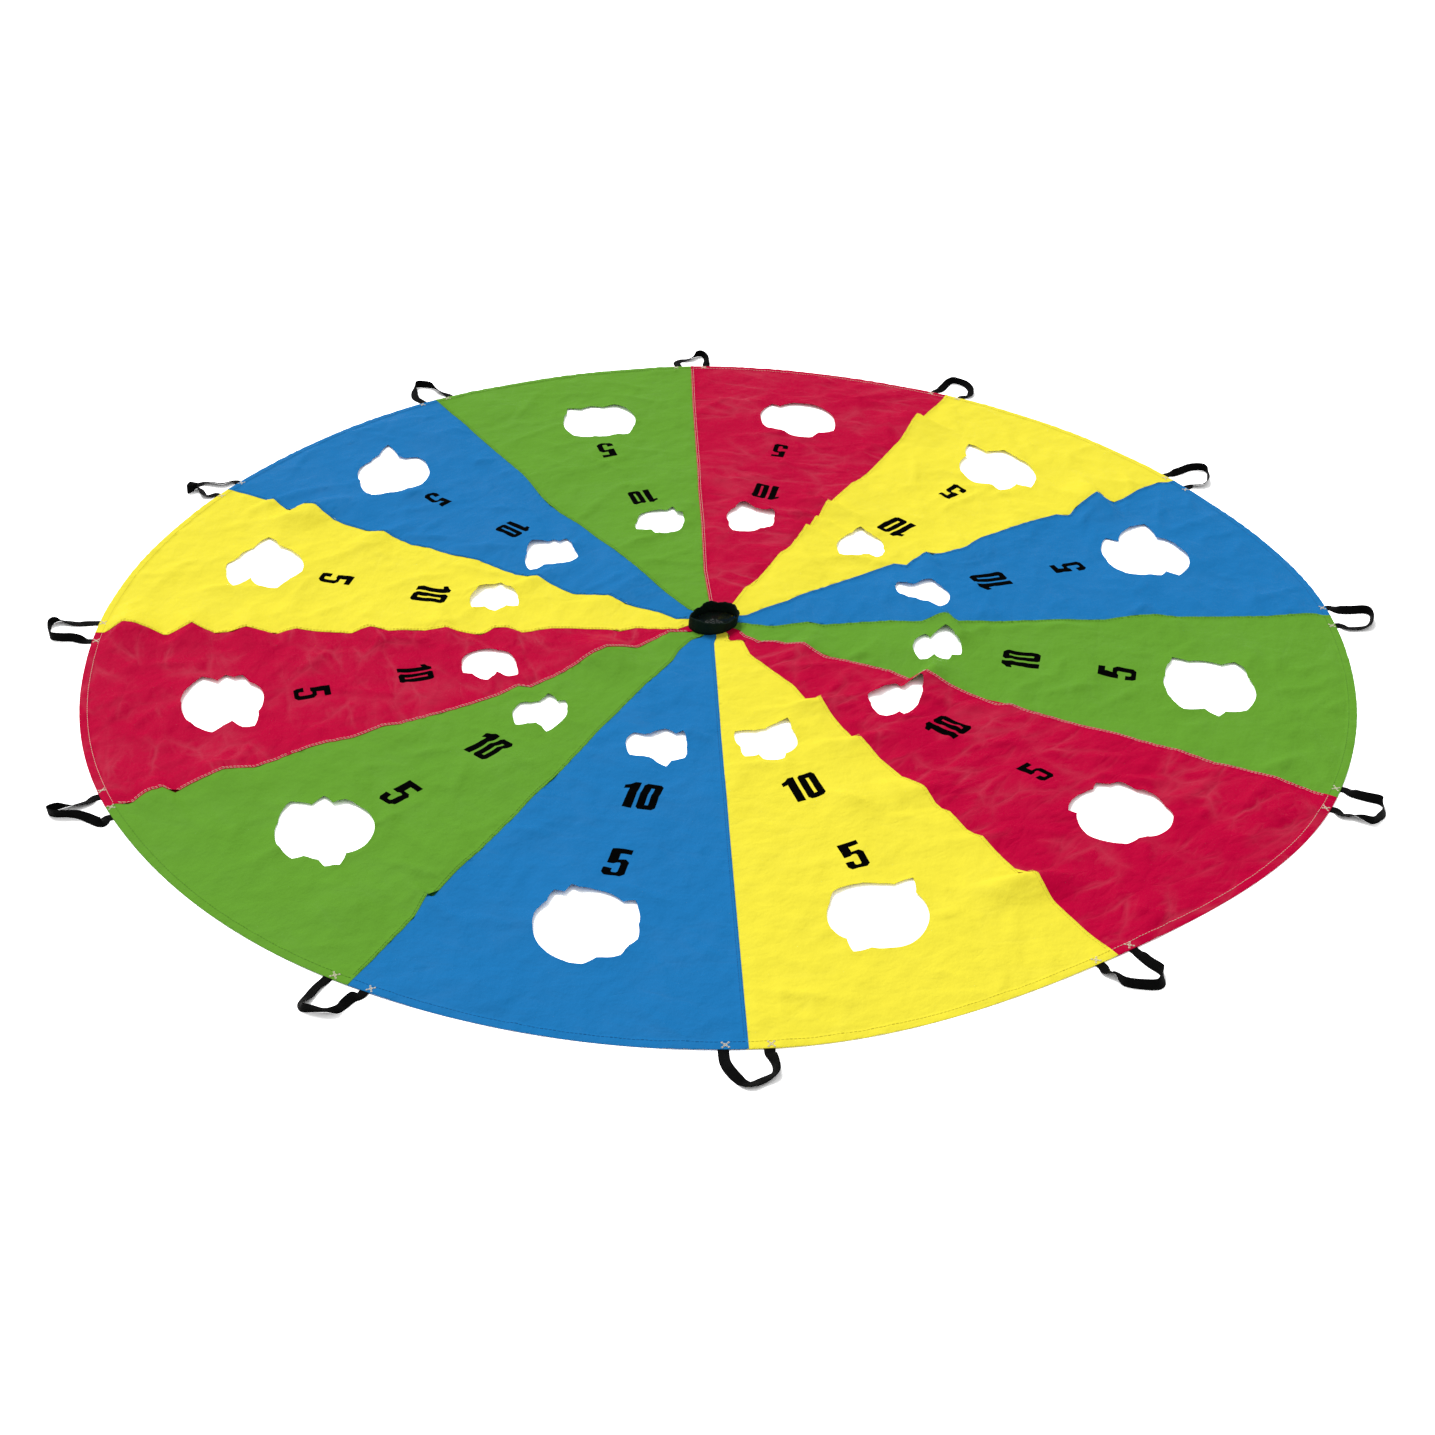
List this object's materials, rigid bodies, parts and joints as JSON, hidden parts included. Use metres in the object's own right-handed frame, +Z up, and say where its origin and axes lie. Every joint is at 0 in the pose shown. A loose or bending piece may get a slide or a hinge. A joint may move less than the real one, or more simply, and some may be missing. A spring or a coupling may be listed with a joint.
{
  "type": "toy parachute",
  "caption": "Round play parachute laid flat: coloured gores with target holes, a collar round a netted vent, and webbing handles at the seams' rim ends.",
  "frame": {"origin": "centre of the vent, on the floor that the canopy lies on", "axes": "+Z up from the floor, -Y towards the first seam and handle, +X to the right of it"},
  "size_m": [3.7364, 3.7732, 0.0383],
  "materials": {
    "cloth_yellow": "woven polyester, coated, slightly glossy",
    "cloth_red": "woven polyester, coated, slightly glossy",
    "cloth_green": "woven polyester, coated, slightly glossy",
    "cloth_blue": "woven polyester, coated, slightly glossy",
    "handle_webbing": "flat woven polypropylene webbing",
    "collar_webbing": "flat woven webbing, dark green-black",
    "net_mesh": "open polyester mesh"
  },
  "bodies": {
    "canopy": {"gore_01_yellow": "cloth_yellow", "gore_02_red": "cloth_red", "gore_03_green": "cloth_green", "gore_04_blue": "cloth_blue", "gore_05_yellow": "cloth_yellow", "gore_06_red": "cloth_red", "gore_07_green": "cloth_green", "gore_08_blue": "cloth_blue", "gore_09_yellow": "cloth_yellow", "gore_10_red": "cloth_red", "gore_11_green": "cloth_green", "gore_12_blue": "cloth_blue", "handle_base_01": "handle_webbing", "handle_base_02": "handle_webbing", "handle_base_03": "handle_webbing", "handle_base_04": "handle_webbing", "handle_base_05": "handle_webbing", "handle_base_06": "handle_webbing", "handle_base_07": "handle_webbing", "handle_base_08": "handle_webbing", "handle_base_09": "handle_webbing", "handle_base_10": "handle_webbing", "handle_base_11": "handle_webbing", "handle_base_12": "handle_webbing", "centre_net": "net_mesh", "centre_collar": "collar_webbing"},
    "handle_01": {"handle_loop_01": "handle_webbing"},
    "handle_02": {"handle_loop_02": "handle_webbing"},
    "handle_03": {"handle_loop_03": "handle_webbing"},
    "handle_04": {"handle_loop_04": "handle_webbing"},
    "handle_05": {"handle_loop_05": "handle_webbing"},
    "handle_06": {"handle_loop_06": "handle_webbing"},
    "handle_07": {"handle_loop_07": "handle_webbing"},
    "handle_08": {"handle_loop_08": "handle_webbing"},
    "handle_09": {"handle_loop_09": "handle_webbing"},
    "handle_10": {"handle_loop_10": "handle_webbing"},
    "handle_11": {"handle_loop_11": "handle_webbing"},
    "handle_12": {"handle_loop_12": "handle_webbing"}
  },
  "joints": [
    {"name": "handle_01_swing", "type": "hinge", "parent": "canopy", "child": "handle_01", "pos_m": [0.00608, -1.77795, 0.0016], "axis": [-1, -0.0066, 0], "range_deg": [0, 160]},
    {"name": "handle_02_swing", "type": "hinge", "parent": "canopy", "child": "handle_02", "pos_m": [0.86272, -1.49429, 0.0016], "axis": [-0.8663, -0.4996, 0], "range_deg": [0, 160]},
    {"name": "handle_03_swing", "type": "hinge", "parent": "canopy", "child": "handle_03", "pos_m": [1.53974, -0.89948, 0.0016], "axis": [-0.5074, -0.8617, 0], "range_deg": [0, 160]},
    {"name": "handle_04_swing", "type": "hinge", "parent": "canopy", "child": "handle_04", "pos_m": [1.78145, -0.00398, 0.0016], "axis": [0.002, -1, 0], "range_deg": [0, 160]},
    {"name": "handle_05_swing", "type": "hinge", "parent": "canopy", "child": "handle_05", "pos_m": [1.51947, 0.8541, 0.0016], "axis": [0.4952, -0.8688, 0], "range_deg": [0, 160]},
    {"name": "handle_06_swing", "type": "hinge", "parent": "canopy", "child": "handle_06", "pos_m": [0.86893, 1.52303, 0.0016], "axis": [0.8659, -0.5003, 0], "range_deg": [0, 160]},
    {"name": "handle_07_swing", "type": "hinge", "parent": "canopy", "child": "handle_07", "pos_m": [-0.01103, 1.7867, 0.0016], "axis": [1, 0.0028, 0], "range_deg": [0, 160]},
    {"name": "handle_08_swing", "type": "hinge", "parent": "canopy", "child": "handle_08", "pos_m": [-0.89944, 1.52562, 0.0016], "axis": [0.8608, 0.509, 0], "range_deg": [0, 160]},
    {"name": "handle_09_swing", "type": "hinge", "parent": "canopy", "child": "handle_09", "pos_m": [-1.50996, 0.87058, 0.0016], "axis": [0.4977, 0.8673, 0], "range_deg": [0, 160]},
    {"name": "handle_10_swing", "type": "hinge", "parent": "canopy", "child": "handle_10", "pos_m": [-1.74645, -0.00199, 0.0016], "axis": [0.0011, 1, 0], "range_deg": [0, 160]},
    {"name": "handle_11_swing", "type": "hinge", "parent": "canopy", "child": "handle_11", "pos_m": [-1.54673, -0.84888, 0.0016], "axis": [-0.4846, 0.8747, 0], "range_deg": [0, 160]},
    {"name": "handle_12_swing", "type": "hinge", "parent": "canopy", "child": "handle_12", "pos_m": [-0.87505, -1.54173, 0.0016], "axis": [-0.868, 0.4966, 0], "range_deg": [0, 160]}
  ]
}
